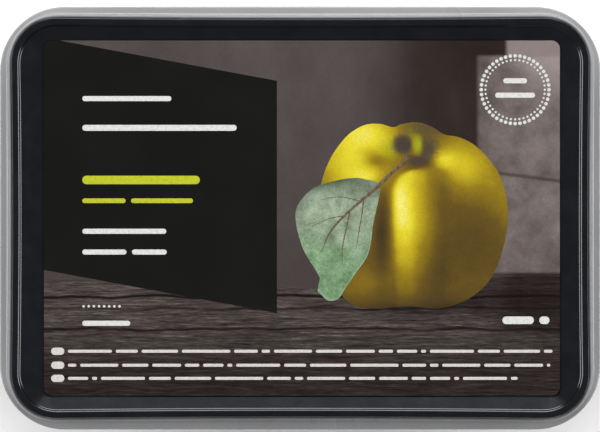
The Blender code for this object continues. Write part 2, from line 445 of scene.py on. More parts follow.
def make_group(name, inputs, output, kind):
    """A shader node group with one output. Inputs are (name, socket type, default or None)."""
    group = bpy.data.node_groups.new(name, "ShaderNodeTree")
    for title, socket_kind, default in inputs:
        socket = group.interface.new_socket(title, in_out="INPUT", socket_type=socket_kind)
        if default is not None:
            socket.default_value = default
    group.interface.new_socket(output, in_out="OUTPUT", socket_type=kind)
    return group, group.nodes.new("NodeGroupInput").outputs, group.nodes.new("NodeGroupOutput").inputs


def use_group(tree, name, **values):
    """Places a node group, its inputs given by name with _ for a space, and returns its output."""
    node = tree.nodes.new("ShaderNodeGroup")
    node.node_tree = bpy.data.node_groups[name]
    for title, value in values.items():
        set_input(tree, node.inputs[title.replace("_", " ")], value)
    return node.outputs[0]


def make_shared_groups():
    """The effects that more than one material uses."""
    group, given, result = make_group(
        "Soft spot",
        [
            ("X", "NodeSocketFloat", None),
            ("Y", "NodeSocketFloat", None),
            ("Centre X", "NodeSocketFloat", 0.0),
            ("Centre Y", "NodeSocketFloat", 0.0),
            ("Half width", "NodeSocketFloat", 1.0),
            ("Half height", "NodeSocketFloat", 1.0),
        ],
        "Share",
        "NodeSocketFloat",
    )
    squares = []
    for axis, middle, half in (("X", "Centre X", "Half width"), ("Y", "Centre Y", "Half height")):
        away = maths(group, "DIVIDE", maths(group, "SUBTRACT", given[axis], given[middle]), given[half])
        squares.append(maths(group, "POWER", away, 2.0))
    distance = maths(group, "SQRT", maths(group, "ADD", *squares))
    group.links.new(fade(group, distance, 1.0, 0.0), result[0])

    group, given, result = make_group(
        "Print grain",
        [
            ("Point", "NodeSocketVector", None),
            ("Colour", "NodeSocketColor", (0.5, 0.5, 0.5, 1.0)),
            ("Amount", "NodeSocketFloat", 0.2),
        ],
        "Colour",
        "NodeSocketColor",
    )
    fine = noise(group, given["Point"], 3.2, detail=2.0, roughness=0.8)
    dots = maths(group, "MULTIPLY", maths(group, "SUBTRACT", fine, 0.5), given["Amount"])
    level = maths(group, "MULTIPLY_ADD", dots, 2.0, 1.0)
    tone = group.nodes.new("ShaderNodeVectorMath")
    tone.operation = "SCALE"
    group.links.new(given["Colour"], tone.inputs[0])
    group.links.new(level, tone.inputs["Scale"])
    group.links.new(tone.outputs[0], result[0])

    group, given, result = make_group(
        "Moulded skin",
        [
            ("Point", "NodeSocketVector", None),
            ("Ripple", "NodeSocketFloat", 1.0),
            ("Grain", "NodeSocketFloat", 1.0),
        ],
        "Height",
        "NodeSocketFloat",
    )
    ripple = maths(group, "MULTIPLY", noise(group, given["Point"], 0.12, detail=1.0), given["Ripple"])
    grain = maths(group, "MULTIPLY", noise(group, given["Point"], 4.0, detail=2.0), given["Grain"])
    group.links.new(maths(group, "ADD", ripple, grain), result[0])


# --- Materials ------------------------------------------------------------------------------------


def tub_finish(colours):
    """Uncoloured plastic: milky where it is thick or seen along its wall, and clearer down the thin body. The
    ledge's darker grey is painted shade, standing for the shade that lies under the ledge.
    """
    finish, tree, shader = new_finish("milky_plastic", 0.3)
    point, _, _, z = millimetres(tree)
    cloud = noise(tree, point, 0.08, detail=2.0)
    flow = noise(tree, stretched(tree, point, across=(0.04, 0.04, 0.12)), 1.0, detail=2.0)
    deep = tuple(0.88 * part for part in colours.tub)
    pale = tuple(1.12 * part for part in colours.tub)
    # Painted shade: the nearly opaque ledge takes the tub's darker grey, standing for the shade under it seen
    # through the plastic. The body keeps the lighter milky grey.
    ledge = mix(tree, cloud, ramp(tree, flow, [(0.3, deep), (0.7, pale)]), colours.tub)
    body = ramp(tree, flow, [(0.3, BODY_DEEP), (0.7, BODY_PALE)])
    thick = fade(tree, z, SHOULDER_TOP / MM, LIP_BOTTOM / MM)
    tree.links.new(mix(tree, thick, body, ledge), shader.inputs["Base Color"])
    edge = tree.nodes.new("ShaderNodeLayerWeight")
    edge.inputs["Blend"].default_value = 0.4
    cover = maths(tree, "MULTIPLY_ADD", edge.outputs["Facing"], 0.42, 0.16)
    foot = maths(tree, "MULTIPLY", fade(tree, z, 3.4, 1.0), 0.3)
    solid = maths(tree, "MAXIMUM", maths(tree, "ADD", cover, foot), maths(tree, "MULTIPLY", thick, 0.97))
    tree.links.new(solid, shader.inputs["Alpha"])
    tree.links.new(maths(tree, "MULTIPLY_ADD", cloud, 0.14, 0.22), shader.inputs["Roughness"])
    bump(tree, shader, use_group(tree, "Moulded skin", Point=point, Ripple=1.0, Grain=0.06), 0.00012)
    return finish


def jelly_finish(colours):
    """Set fruit jelly: dark amber, cloudy with pulp and with a wet shine."""
    finish, tree, shader = new_finish("fruit_jelly", 0.16, coat=0.3)
    point = millimetres(tree)[0]
    pulp = noise(tree, point, 0.35, detail=5.0, roughness=0.65)
    deep = tuple(0.6 * part for part in colours.jelly)
    bright = tuple(min(1.0, 1.4 * part) for part in colours.jelly)
    base = ramp(tree, pulp, [(0.3, deep), (0.5, colours.jelly), (0.72, bright)])
    specks = noise(tree, point, 1.6, detail=2.0, roughness=0.7)
    tree.links.new(mix(tree, fade(tree, specks, 0.66, 0.74), base, deep), shader.inputs["Base Color"])
    bump(tree, shader, pulp, 0.0001, 0.3)
    return finish


def film_finish():
    """Heat-sealed film, drawn tight and a little cloudy, with the bright track of the seal round its edge."""
    finish, tree, shader = new_finish("sealing_film", 0.2)
    point, x, _, _ = millimetres(tree)
    cloud = noise(tree, point, 0.15, detail=3.0)
    colour = ramp(tree, cloud, [(0.3, (0.45, 0.46, 0.48)), (0.7, (0.68, 0.68, 0.7))])
    tree.links.new(colour, shader.inputs["Base Color"])
    track = fade(tree, maths(tree, "ABSOLUTE", x), FILM_HIGH.x / MM - 4.0, FILM_HIGH.x / MM - 3.0)
    tree.links.new(maths(tree, "MULTIPLY_ADD", track, 0.3, 0.55), shader.inputs["Alpha"])
    bump(tree, shader, noise(tree, stretched(tree, point, across=(0.4, 2.5, 1)), 0.3), 0.0002, 0.6)
    return finish


def lid_finish(colours):
    """Glossy black moulded plastic, with faint flow marks and a fine skin."""
    finish, tree, shader = new_finish("black_plastic", 0.1)
    point = millimetres(tree)[0]
    cloud = noise(tree, point, 0.2, detail=4.0, roughness=0.6)
    pale = tuple(1.7 * part for part in colours.lid)
    tree.links.new(ramp(tree, cloud, [(0.35, colours.lid), (0.75, pale)]), shader.inputs["Base Color"])
    tree.links.new(maths(tree, "MULTIPLY_ADD", cloud, 0.12, 0.06), shader.inputs["Roughness"])
    bump(tree, shader, use_group(tree, "Moulded skin", Point=point, Ripple=0.6, Grain=0.1), 0.00008)
    return finish


def print_finish(name, roughness=0.42):
    """A satin printed surface, still without its colour."""
    finish, tree, shader = new_finish(name, roughness)
    shader.inputs["Specular IOR Level"].default_value = 0.1
    return finish, tree, shader


def settle_print(tree, shader, colour, grain, fibre=0.00001):
    """Gives a print its colour with some grain, on paper with a little fibre."""
    point = millimetres(tree)[0]
    grained = use_group(tree, "Print grain", Point=point, Colour=colour, Amount=grain)
    tree.links.new(grained, shader.inputs["Base Color"])
    bump(tree, shader, noise(tree, point, 2.0, detail=2.0), fibre, 0.5)


def spot(tree, x, y, middle_x, middle_y, half_width, half_height):
    """1 at the middle of a soft oval spot and 0 outside it."""
    place = {"Centre_X": middle_x, "Centre_Y": middle_y, "Half_width": half_width, "Half_height": half_height}
    return use_group(tree, "Soft spot", X=x, Y=y, **place)


def wall_colour(tree, point, x, y):
    """The plain plastered wall: warm grey, paler at the left and darker behind the fruit."""
    cloud = noise(tree, stretched(tree, point, across=(1, 0.6, 1)), 0.05, detail=5.0, roughness=0.65)
    near = ramp(tree, cloud, [(0.3, ink(76, 69, 68)), (0.7, ink(92, 85, 83))])
    far = ramp(tree, cloud, [(0.3, ink(44, 36, 34)), (0.7, ink(60, 50, 48))])
    wall = mix(tree, fade(tree, x, 6.0, 34.0), near, far)
    return mix(tree, maths(tree, "MULTIPLY", fade(tree, y, 16.0, -16.0), 0.35), wall, ink(50, 42, 40))


def crate_colour(tree, point, x, y):
    """The pale weathered box beside the fruit, with a seam, a few stains and a shaded near edge."""
    cloud = noise(tree, point, 0.16, detail=7.0, roughness=0.7)
    base = ramp(tree, cloud, [(0.28, ink(88, 79, 76)), (0.5, ink(114, 104, 101)), (0.75, ink(138, 126, 122))])
    seam_line = maths(tree, "ADD", y, maths(tree, "MULTIPLY_ADD", x, 0.13, -16.7))
    seam = fade(tree, maths(tree, "ABSOLUTE", seam_line), 0.7, 0.1)
    seamed = mix(tree, maths(tree, "MULTIPLY", seam, 0.7), base, ink(66, 57, 55))
    corner = spot(tree, x, y, 60.0, 39.0, 13.0, 15.0)
    lit = mix(tree, maths(tree, "MULTIPLY", corner, 0.6), seamed, ink(176, 163, 158))
    shaded = mix(tree, maths(tree, "MULTIPLY", fade(tree, x, 48.5, 42.0), 0.35), lit, ink(62, 54, 52))
    return mix(tree, maths(tree, "MULTIPLY", fade(tree, y, 2.0, -14.0), 0.25), shaded, ink(78, 68, 65))


def table_colour(tree, point, x, y):
    """Old dark boards that run across the picture, with the fruit's shadow on them."""
    grain = noise(tree, stretched(tree, point, across=(0.09, 1.6, 1)), 1.0, detail=7.0, roughness=0.75)
    streaks = noise(tree, stretched(tree, point, across=(0.35, 6.0, 1)), 1.0, detail=4.0, roughness=0.75)
    both = maths(tree, "MULTIPLY_ADD", streaks, 0.5, maths(tree, "MULTIPLY", grain, 0.55))
    dark, brown, grey, pale = ink(30, 24, 23), ink(68, 59, 57), ink(98, 88, 85), ink(150, 138, 132)
    base = ramp(tree, both, [(0.38, dark), (0.5, brown), (0.6, grey), (0.7, pale)])
    for height, depth in ((-18.6, 0.9), (-21.4, 0.6), (-26.2, 0.8)):
        along = stretched(tree, point, across=(0.07, 0.01, 1), shift=(height, 0, 0))
        wave = noise(tree, along, 1.0, detail=3.0)
        line = maths(tree, "ADD", y, maths(tree, "MULTIPLY", maths(tree, "SUBTRACT", wave, 0.5), 2.6))
        gap = fade(tree, maths(tree, "ABSOLUTE", maths(tree, "SUBTRACT", line, height)), 0.55, 0.1)
        base = mix(tree, maths(tree, "MULTIPLY", gap, depth), base, ink(22, 17, 16))
    lower = fade(tree, y, -24.0, -38.0)
    base = mix(tree, maths(tree, "MULTIPLY", lower, 0.72), base, ink(32, 25, 23))
    right = maths(tree, "MULTIPLY", fade(tree, x, 42.0, 52.0), fade(tree, y, -31.0, -24.0))
    base = mix(tree, maths(tree, "MULTIPLY", right, 0.8), base, ink(34, 26, 24))
    shadow = spot(tree, x, y, 33.0, -18.5, 36.0, 8.5)
    return mix(tree, maths(tree, "MULTIPLY", shadow, 0.85), base, ink(26, 20, 19))


def label_finish():
    """The printed picture behind the fruit: a wall, a box and a table of old boards."""
    finish, tree, shader = print_finish("label_print")
    point, x, y, _ = millimetres(tree)
    wall = wall_colour(tree, point, x, y)
    behind = maths(tree, "MULTIPLY", fade(tree, x, 48.0, 49.4), fade(tree, y, 37.4, 38.6))
    wall = mix(tree, behind, wall, ink(140, 127, 124))
    inside = maths(tree, "MULTIPLY", fade(tree, x, 41.2, 42.6), fade(tree, y, 38.8, 37.8))
    picture = mix(tree, inside, wall, crate_colour(tree, point, x, y))
    table = fade(tree, maths(tree, "MULTIPLY_ADD", x, 0.03, y), -15.6, -17.0)
    beside = maths(tree, "MULTIPLY", fade(tree, y, -12.4, -13.4), fade(tree, x, 20.0, 40.0))
    picture = mix(tree, maths(tree, "MAXIMUM", table, beside), picture, table_colour(tree, point, x, y))
    settle_print(tree, shader, picture, 0.24)
    return finish


def panel_finish():
    """The plain dark panel at the label's left, for the name."""
    finish, tree, shader = print_finish("panel_print")
    point = millimetres(tree)[0]
    cloud = noise(tree, point, 0.05, detail=3.0)
    colour = ramp(tree, cloud, [(0.3, ink(28, 28, 26)), (0.7, ink(32, 32, 30))])
    settle_print(tree, shader, colour, 0.2)
    return finish


def fruit_finish():
    """The printed fruit. Its light and hollows are attributes, worked out from its soft patches."""
    finish, tree, shader = print_finish("fruit_print")
    point = millimetres(tree)[0]
    cloud = noise(tree, point, 0.22, detail=5.0, roughness=0.65)
    light = maths(tree, "MULTIPLY_ADD", maths(tree, "SUBTRACT", cloud, 0.5), 0.14, attribute(tree, "light"))
    skin = ramp(
        tree,
        light,
        [
            (0.0, ink(46, 38, 30)),
            (0.16, ink(78, 64, 38)),
            (0.34, ink(108, 86, 36)),
            (0.52, ink(150, 124, 34)),
            (0.7, ink(200, 178, 38)),
            (0.86, ink(232, 216, 56)),
            (1.0, ink(246, 236, 122)),
        ],
    )
    skin = mix(tree, maths(tree, "MULTIPLY", attribute(tree, "green"), 0.75), skin, ink(160, 170, 36))
    down = noise(tree, point, 1.3, detail=3.0, roughness=0.7)
    hollow = maths(tree, "MULTIPLY_ADD", maths(tree, "SUBTRACT", down, 0.5), 0.7, attribute(tree, "hollow"))
    skin = mix(tree, fade(tree, hollow, 0.2, 1.0), skin, ink(92, 80, 56))
    deepest = fade(tree, attribute(tree, "pit"), 0.25, 0.85)
    skin = mix(tree, maths(tree, "MULTIPLY", deepest, 0.85), skin, ink(74, 64, 60))
    settle_print(tree, shader, skin, 0.3)
    return finish


def leaf_finish():
    """The printed leaf: grey-green and downy, greener at its tip, with a pale rim and a dark upper edge."""
    finish, tree, shader = print_finish("leaf_print")
    point, _, y, _ = millimetres(tree)
    cloud = noise(tree, point, 0.3, detail=8.0, roughness=0.75)
    upper = ramp(tree, cloud, [(0.32, ink(112, 130, 106)), (0.66, ink(178, 192, 166))])
    lower = ramp(tree, cloud, [(0.32, ink(84, 120, 78)), (0.66, ink(146, 178, 138))])
    blade = mix(tree, fade(tree, y, 2.0, -12.0), upper, lower)
    blade = mix(tree, attribute(tree, "shade"), blade, ink(52, 66, 48))
    blade = mix(tree, maths(tree, "MULTIPLY", attribute(tree, "pale"), 0.55), blade, ink(182, 198, 174))
    blade = mix(tree, maths(tree, "MULTIPLY", attribute(tree, "rim"), 0.6), blade, ink(192, 206, 180))
    settle_print(tree, shader, blade, 0.6)
    return finish


def stem_finish():
    finish, tree, shader = print_finish("stem_print")
    point = millimetres(tree)[0]
    bark = noise(tree, point, 1.2, detail=4.0, roughness=0.7)
    colour = ramp(tree, bark, [(0.3, ink(76, 60, 50)), (0.7, ink(138, 116, 100))])
    settle_print(tree, shader, colour, 0.3)
    return finish


def mark_finish(name, colour):
    """Ink of one colour, a little uneven as it sits on the paper."""
    finish, tree, shader = print_finish(name)
    point = millimetres(tree)[0]
    cover = noise(tree, point, 1.5, detail=3.0)
    thin = tuple(0.82 * part for part in colour)
    settle_print(tree, shader, ramp(tree, cover, [(0.3, thin), (0.6, colour)]), 0.06)
    return finish


def paper_finish():
    """Bare white satin paper with a faint fibre."""
    finish, tree, shader = print_finish("bare_paper", 0.5)
    point = millimetres(tree)[0]
    fibre = noise(tree, stretched(tree, point, across=(0.5, 2.2, 1)), 1.2, detail=5.0, roughness=0.7)
    colour = ramp(tree, fibre, [(0.3, ink(226, 224, 218)), (0.7, ink(240, 239, 234))])
    settle_print(tree, shader, colour, 0.03, 0.00002)
    return finish


def floor_finish():
    finish, tree, shader = new_finish("pale_floor", 0.6)
    point = millimetres(tree)[0]
    cloud = noise(tree, point, 0.01, detail=2.0)
    colour = ramp(tree, cloud, [(0.3, (0.9, 0.9, 0.9)), (0.7, (0.93, 0.93, 0.93))])
    tree.links.new(colour, shader.inputs["Base Color"])
    return finish


# --- The printed picture --------------------------------------------------------------------------

# The fruit's outline, in millimetres from the label's own origin, clockwise from the dip beside its stalk.
FRUIT_MIDDLE = (27.0, 0.0)
FRUIT_OUTLINE = (
    (21.9, 21.6),
    (23.8, 22.3),
    (27.4, 22.8),
    (31.0, 21.7),
    (34.0, 19.9),
    (37.6, 19.2),
    (41.4, 17.2),
    (45.2, 13.3),
    (47.6, 9.2),
    (49.0, 3.6),
    (49.0, -2.0),
    (47.6, -8.6),
    (44.6, -15.0),
    (39.6, -19.3),
    (32.6, -21.5),
    (25.4, -20.9),
    (18.0, -21.5),
    (11.6, -20.2),
    (7.0, -14.0),
    (4.2, -4.0),
    (4.4, 6.0),
    (6.6, 13.4),
    (10.6, 19.2),
    (14.8, 22.0),
    (18.6, 22.4),
)
STALK_PIT = (24.3, 17.4)

# Soft patches on the fruit: middle, half width, half height, and how much lighter or darker.
FRUIT_PATCHES = (
    (12.4, 14.4, 9.0, 10.0, 0.50),  # the left lobe
    (17.0, 20.6, 6.0, 3.6, 0.28),
    (17.6, 13.6, 2.8, 1.7, -0.20),  # a crease on it
    (15.4, 15.4, 2.2, 1.2, -0.08),
    (15.6, 9.6, 4.0, 2.2, 0.20),
    (20.6, 17.4, 2.4, 2.6, 0.10),
    (33.6, 13.9, 2.8, 2.2, 0.26),  # the right lobe's shoulder
    (36.4, 12.4, 5.6, 5.0, 0.20),
    (40.5, 12.0, 6.8, 7.4, 0.24),
    (46.2, 6.0, 3.6, 7.0, 0.10),
    (36.0, 18.0, 5.0, 2.0, 0.06),
    (34.4, 7.6, 1.7, 3.0, -0.05),  # the groove between shoulder and rib
    (28.4, 13.2, 3.0, 1.5, -0.26),  # below the hollow
    (19.2, -3.6, 1.9, 10.5, -0.22),  # the valley beside the leaf
    (19.6, 4.4, 1.4, 3.0, -0.06),
    (15.4, -15.4, 6.0, 3.6, 0.10),
    (25.0, -14.0, 3.6, 6.0, 0.08),
    (40.0, -6.0, 10.0, 10.0, -0.11),  # the shaded side
    (48.6, 1.0, 1.5, 9.0, 0.08),
    (27.0, -22.4, 20.0, 3.6, -0.26),  # its foot
)

LEAF_MIDDLE = (9.0, -4.5)
LEAF_OUTLINE = (
    (18.9, 7.6),
    (15.6, 9.3),
    (11.5, 9.6),
    (4.6, 7.9),
    (0.7, 5.0),
    (-1.2, 0.7),
    (0.5, -7.0),
    (4.6, -14.2),
    (3.8, -16.7),
    (5.2, -18.4),
    (6.7, -19.6),
    (9.0, -19.1),
    (11.0, -16.2),
    (13.2, -13.0),
    (16.2, -8.3),
    (17.4, -1.0),
)
STALK = ((25.5, 14.9, 0.42), (24.6, 13.2, 0.36), (21.8, 10.9, 0.38), (18.5, 7.6, 0.42))
MIDRIB = ((18.5, 7.6, 0.40), (11.3, 1.4, 0.28), (7.2, -3.1, 0.2), (4.9, -8.0, 0.06))
SIDE_VEINS = (
    ((15.0, 4.7, 0.16), (14.5, 0.6, 0.14), (13.1, -7.6, 0.05)),
    ((11.7, 1.6, 0.18), (10.9, -2.4, 0.16), (10.0, -6.6, 0.12), (9.9, -11.0, 0.05)),
    ((10.4, 0.5, 0.1), (6.8, -0.1, 0.09), (2.6, -2.0, 0.04)),
    ((14.2, 4.0, 0.1), (9.4, 5.0, 0.08), (4.6, 4.3, 0.04)),
)


def between(before, start, end, after, share):
    """A point on the smooth curve from start to end, whose neighbours are before and after."""
    first = 0.5 * (end - before)
    second = before - 2.5 * start + 2 * end - 0.5 * after
    third = 0.5 * (3 * start - before - 3 * end + after)
    return start + share * (first + share * (second + share * third))


def closed_curve(points, steps=24):
    """Points along a smooth closed curve through those given."""
    points = np.array(points)
    curve = []
    for i in range(len(points)):
        before, start, end, after = (points[(i + k) % len(points)] for k in (-1, 0, 1, 2))
        for step in range(steps):
            curve.append(between(before, start, end, after, step / steps))
    return np.array(curve)


def outline_reach(outline, middle, angles):
    """How far a smooth outline reaches from its middle at each angle."""
    away = closed_curve(outline) - np.array(middle)
    turn = np.arctan2(away[:, 1], away[:, 0])
    order = np.argsort(turn)
    return np.interp(angles, turn[order], np.hypot(*away.T)[order], period=2 * math.pi)


def leaf_reach(angles):
    """How far the leaf reaches from its middle at each angle."""
    return outline_reach(LEAF_OUTLINE, LEAF_MIDDLE, angles)


def fruit_reach(angles):
    """How far the fruit reaches from its middle at each angle."""
    return outline_reach(FRUIT_OUTLINE, FRUIT_MIDDLE, angles)


def soft_spot(x, y, middle_x, middle_y, half_x, half_y):
    return np.exp(-(((x - middle_x) / half_x) ** 2) - ((y - middle_y) / half_y) ** 2)


def soft_step(distance, width):
    """0 well below nought, 1 well above it, and half at nought."""
    return 1 / (1 + np.exp(-np.clip(distance / width, -40, 40)))


def fruit_rib(x, y):
    """How much of the rib down the fruit's middle shows, and how light it is."""
    bend = np.clip(y - 5.6, 0, 6.0) / 6.0
    left = 27.6 - 6.3 * np.sqrt(np.clip(1 - bend**2, 0, 1)) + 0.03 * np.clip(-y, 0, 20)
    right = 33.6 - 0.1 * np.clip(y, 0, 12)
    shows = soft_step(x - left, 0.4) * soft_step(11.6 - y, 0.35) * soft_step(right - x, 1.3)
    shows = shows * soft_step(y + 17.0, 2.6)
    across = np.clip((x - 26.0) / 8.0, 0, 1)
    light = 0.8 - 0.5 * across - 0.016 * np.clip(-y - 1, 0, 20) - 0.01 * np.clip(-y - 9, 0, 20)
    light = light + 0.16 * soft_spot(x, y, 23.4, 4.6, 1.7, 5.4) + 0.1 * soft_spot(x, y, 24.6, -1.0, 2.0, 7.0)
    return shows, light - 0.22 * soft_step(left + 0.8 - x, 0.35)


def fruit_attributes(x, y):
    """The fruit's light, the shade in its hollows and its stalk's pit, and its greener patches."""
    light = np.full_like(x, 0.34)
    for *place, amount in FRUIT_PATCHES:
        light += amount * soft_spot(x, y, *place)
    shows, rib_light = fruit_rib(x, y)
    light += (rib_light - light) * shows
    lit = soft_spot(x, y, 27.7, 17.3, 1.0, 1.9)
    pit = np.maximum(soft_spot(x, y, *STALK_PIT, 3.0, 2.8), 0.8 * soft_spot(x, y, 28.0, 13.8, 3.4, 1.6))
    pit = np.maximum(pit, 0.66 * soft_spot(x, y, 30.0, 15.8, 2.6, 3.2))
    hollow = np.maximum(pit, 0.95 * soft_spot(x, y, 29.6, 17.0, 4.0, 4.0))
    hollow = np.maximum(hollow, 0.8 * soft_spot(x, y, 29.2, 20.8, 6.4, 2.8))
    green = 0.8 * soft_spot(x, y, 21.0, 16.4, 2.0, 2.4) + 1.2 * lit
    green = green + 0.5 * soft_spot(x, y, 26.2, 20.0, 1.0, 1.6)
    return {
        "light": light + 0.2 * lit,
        "hollow": np.clip(hollow - lit, 0, 1),
        "pit": np.clip(pit - lit, 0, 1),
        "green": np.clip(green, 0, 1),
    }


def leaf_attributes(x, y):
    """The leaf's dark edge and folds, the pale fields between its veins, and its rim, from 0 to 1."""
    angles = np.arctan2(y - LEAF_MIDDLE[1], x - LEAF_MIDDLE[0])
    away = np.hypot(x - LEAF_MIDDLE[0], y - LEAF_MIDDLE[1]) / leaf_reach(angles)
    upper = np.clip(np.sin(angles - 0.25), 0, 1)
    shade = np.clip((away - 0.74) / 0.26, 0, 1) * upper**2 * 0.9
    shade += 0.4 * soft_spot(x, y, 15.0, 6.4, 4.0, 2.0) + 0.4 * soft_spot(x, y, 7.6, -4.6, 1.4, 2.4)
    shade += 0.3 * soft_spot(x, y, 12.0, -1.0, 1.2, 4.0)
    pale = soft_spot(x, y, 9.6, -4.8, 1.5, 1.6) + 0.8 * soft_spot(x, y, 3.4, 5.0, 3.4, 2.0)
    pale += 0.6 * soft_spot(x, y, 13.6, -6.0, 1.4, 5.0)
    rim = np.clip((away - 0.94) / 0.06, 0, 1) * np.clip(-np.sin(angles - 0.5), 0, 1)
    return {"shade": np.clip(shade, 0, 0.85), "pale": np.clip(pale, 0, 1), "rim": rim}


def flat_print(name, middle, reach, rings, segments, thickness, attributes):
    """A thin printed shape, from a half sphere pressed flat, with attributes worked out over it."""
    piece = new_piece(name)
    bpy.ops.mesh.primitive_uv_sphere_add(segments=segments, ring_count=2 * rings, radius=1)
    bpy.ops.mesh.select_all(action="SELECT")
    level = {"plane_co": (0, 0, 0), "plane_no": (0, 0, 1)}
    bpy.ops.mesh.bisect(**level, clear_inner=True, use_fill=True, threshold=BISECT_THRESHOLD)
    bpy.ops.object.mode_set(mode="OBJECT")
    count = len(piece.data.vertices)
    points = np.empty(count * 3)
    piece.data.vertices.foreach_get("co", points)
    x, y, z = points.reshape(count, 3).T
    share = np.arccos(np.clip(z, -1, 1)) / (math.pi / 2)
    angles = np.arctan2(y, x)
    flat_x = middle[0] + share * reach(angles) * np.cos(angles)
    flat_y = middle[1] + share * reach(angles) * np.sin(angles)
    height = np.where(share < 1 - 0.5 / rings, LABEL_HIGH.z + thickness, LABEL_HIGH.z - INK)
    piece.data.vertices.foreach_set("co", np.column_stack((flat_x * MM, flat_y * MM, height)).ravel())
    for title, values in attributes(flat_x, flat_y).items():
        layer = piece.data.attributes.new(title, "FLOAT", "POINT")
        layer.data.foreach_set("value", values.astype(np.float32))
    piece.data.update()
    bpy.ops.object.mode_set(mode="EDIT")
    return piece


def smooth_path(points, steps=6):
    """More (x, y, half width) points along a smooth open curve through those given."""
    points = [np.array(point) for point in points]
    points = [2 * points[0] - points[1], *points, 2 * points[-1] - points[-2]]
    path = []
    for before, start, end, after in zip(points, points[1:], points[2:], points[3:]):
        for step in range(steps):
            path.append(between(before, start, end, after, step / steps))
    path.append(points[-2])
    return path


def drawn_strips(name, strips, rise):
    """Tapering strips through (x, y, half width) points: round curves, made a mesh and pressed flat."""
    height = LABEL_HIGH.z + 2.3 * INK
    curve = bpy.data.curves.new(name, "CURVE")
    curve.dimensions = "3D"
    curve.bevel_depth = MM
    curve.bevel_resolution = 2
    curve.use_fill_caps = True
    for strip in strips:
        path = smooth_path(strip)
        spline = curve.splines.new("POLY")
        spline.points.add(len(path) - 1)
        for point, (x, y, half_width) in zip(spline.points, path):
            point.co = (x * MM, y * MM, height, 1)
            point.radius = half_width
    piece = bpy.data.objects.new(name, curve)
    bpy.context.scene.collection.objects.link(piece)
    bpy.ops.object.select_all(action="DESELECT")
    bpy.context.view_layer.objects.active = piece
    piece.select_set(True)
    bpy.ops.object.convert(target="MESH")
    bpy.ops.object.mode_set(mode="EDIT")
    bpy.ops.mesh.select_all(action="SELECT")
    bpy.ops.mesh.remove_doubles(threshold=0.001 * MM)
    bpy.ops.transform.resize(value=(1, 1, rise), center_override=(0, 0, height))
    return bpy.context.view_layer.objects.active


def add_bar(left, middle, length, height):
    """Adds a bar of ink with round ends to the open piece, its sizes in millimetres."""
    place = ((left + length / 2) * MM, middle * MM, LABEL_HIGH.z)
    bpy.ops.mesh.select_mode(type="EDGE")
    bpy.ops.mesh.select_all(action="DESELECT")
    bpy.ops.mesh.primitive_cube_add(size=1, location=place)
    bpy.ops.transform.resize(value=(length * MM, height * MM, 4 * INK), center_override=place)
    mesh = bmesh.from_edit_mesh(bpy.context.object.data)
    added = [edge for edge in mesh.edges if edge.select]
    bpy.ops.mesh.select_all(action="DESELECT")
    for edge in added:
        if abs(edge.verts[0].co.z - edge.verts[1].co.z) > INK:
            edge.select_set(True)
    bpy.ops.mesh.bevel(offset=0.48 * min(length, height) * MM, segments=5)


def add_dot(x, y, radius):
    bpy.ops.mesh.primitive_cylinder_add(
        vertices=20, radius=radius * MM, depth=4 * INK, location=(x * MM, y * MM, LABEL_HIGH.z)
    )


# The label's bare marks: plain bars where words would be. Each row is where it starts, its middle,
# its height and the lengths of its bars, in millimetres.
WORD_GAP = 1.3
TITLE_ROWS = ((-51.4, 28.2, 1.2, (21.0,)), (-51.4, 21.3, 1.4, (36.4,)))
NAME_ROWS = ((-51.4, 9.0, 2.0, (27.7,)), (-51.4, 4.1, 1.1, (10.2, 14.6)))
KIND_ROWS = ((-51.4, -3.1, 1.2, (19.8,)), (-51.4, -8.0, 1.2, (10.4, 8.2)))
FOOT_ROWS = ((-51.4, -24.8, 1.2, (11.3,)), (47.7, -24.1, 1.8, (7.4, 2.4)))
SEAL_ROWS = ((47.9, 32.4, 1.2, (5.6,)), (46.0, 29.0, 1.2, (9.4,)))
FINE_ROWS = ((-31.4, 59.5), (-34.7, 59.0), (-37.8, 51.3))  # the middle and the end of each
FINE_START = -54.8
FINE_HEIGHT = 0.7
FINE_GAP = 0.9
FINE_WORDS = (10.4, 5.2, 8.6, 11.4, 5.6, 2.0, 9.0, 6.2, 6.8, 3.4, 4.8, 1.2)
OVAL = (-58.75, 3.1, 1.7)  # its left end, its length and its height
DOTS = (-51.1, -20.8, 1.21, 0.3)  # a row of eight: the first one's middle, their spacing and their radius
SEAL = (50.7, 30.3)
SEAL_RINGS = ((8.0, 0.42), (7.0, 0.26))  # the radius of each ring and of its dots
SEAL_DOTS = 44


def add_rows(rows):
    for left, middle, height, lengths in rows:
        for length in lengths:
            add_bar(left, middle, length, height)
            left += length + WORD_GAP


def add_fine_rows():
    """The rows of fine print: an oval, then bars of uneven length up to the row's end."""
    for number, (middle, end) in enumerate(FINE_ROWS):
        add_bar(OVAL[0], middle, *OVAL[1:])
        left = FINE_START
        word = number * 5
        while left < end:
            length = min(FINE_WORDS[word % len(FINE_WORDS)], end - left)
            add_bar(left, middle, max(length, 0.8), FINE_HEIGHT)
            left += length + FINE_GAP
            word += 1


def add_seal():
    """A plain ring of dots."""
    for number in range(SEAL_DOTS):
        angle = 2 * math.pi * number / SEAL_DOTS
        for ring, radius in SEAL_RINGS:
            add_dot(SEAL[0] + ring * math.cos(angle), SEAL[1] + ring * math.sin(angle), radius)


# The lines that bound the dark panel: a point on each in millimetres, and its outward normal.
PANEL_SLOPE = math.tan(math.radians(10.5))
PANEL_CUTS = (
    ((-5.5, 0.0), (1, 0, 0)),
    ((-5.5, 32.4), (PANEL_SLOPE, 1, 0)),
    ((-5.5, -22.4), (-PANEL_SLOPE, -1, 0)),
)


